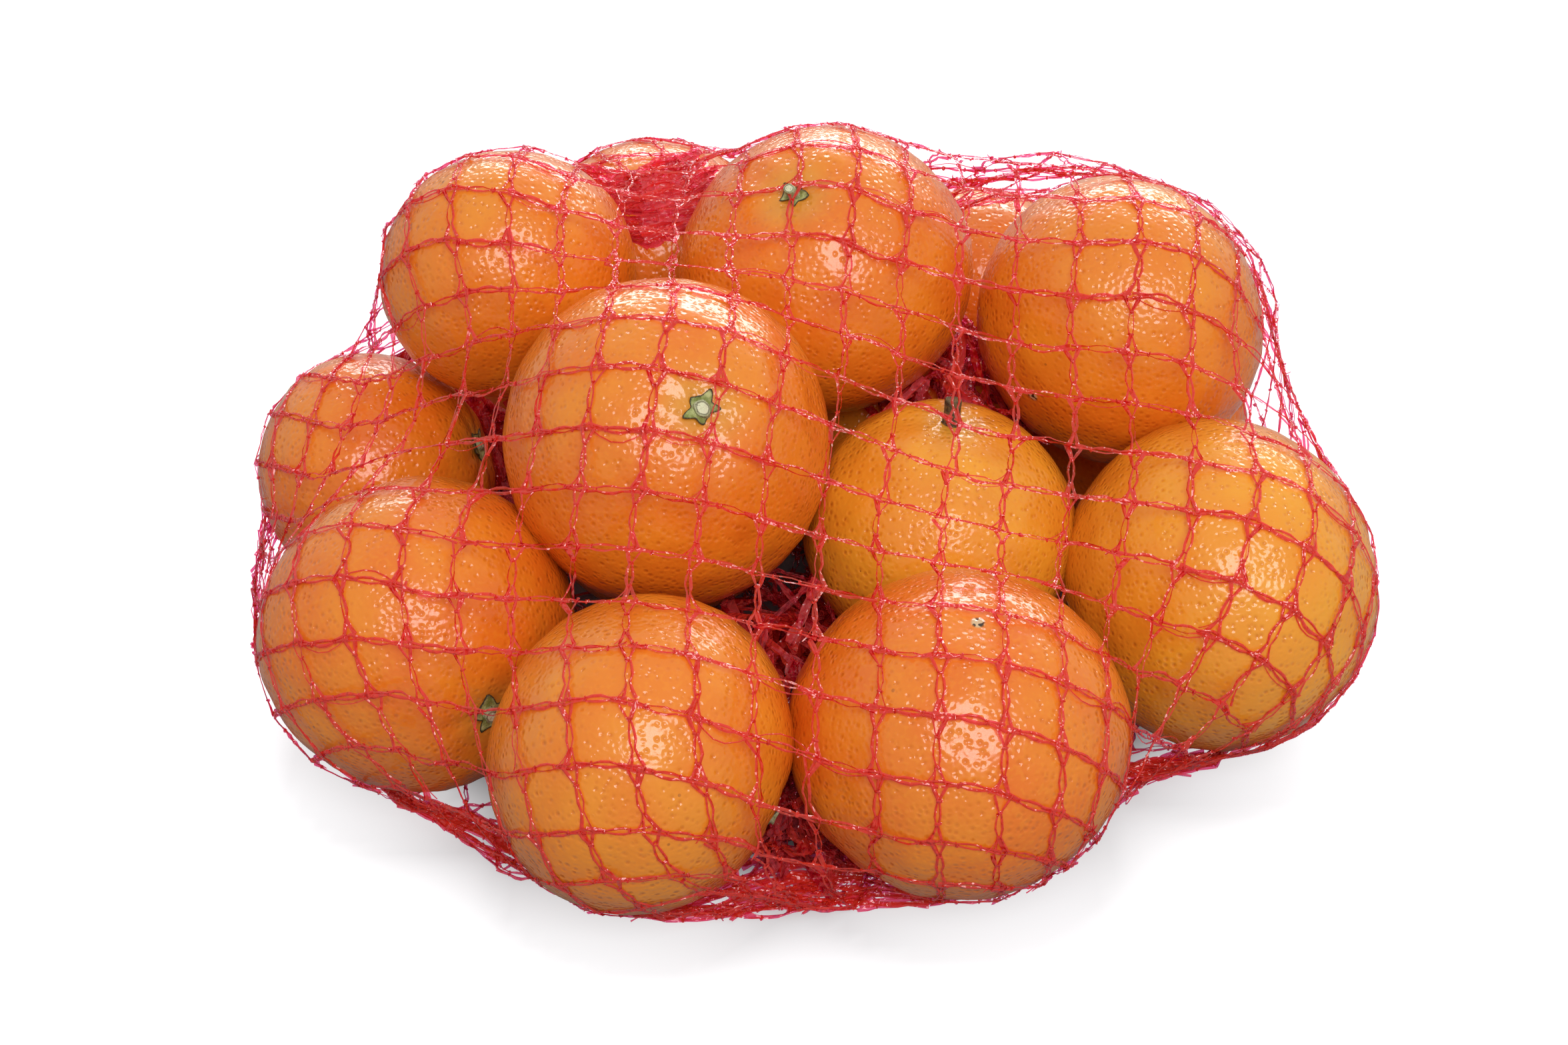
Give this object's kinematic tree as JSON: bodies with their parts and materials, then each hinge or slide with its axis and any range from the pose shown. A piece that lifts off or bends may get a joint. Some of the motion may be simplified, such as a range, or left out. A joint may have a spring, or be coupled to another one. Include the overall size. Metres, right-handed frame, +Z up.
{
  "type": "net of mandarins",
  "caption": "Red plastic net filled with mandarins, lying as a low two-layer heap with the net pulled tight over the fruit and gathered at the back.",
  "frame": {"origin": "on the table, under the middle of the object's box", "axes": "+Z up; +X to the right and -Y to the front, the side that shows ten of the mandarins"},
  "size_m": [0.2408, 0.2508, 0.1131],
  "materials": {
    "net": "thin translucent red plastic tape, knitted into an open square mesh, glossy with small bright glints",
    "peel": "waxed orange citrus peel with fine pores, semi-gloss, a little yellower on some of the fruit",
    "stem": "dry green and brown stem ends, rough, with a pale cut button"
  },
  "bodies": {
    "root": {"filled_net": "net"}
  },
  "joints": []
}
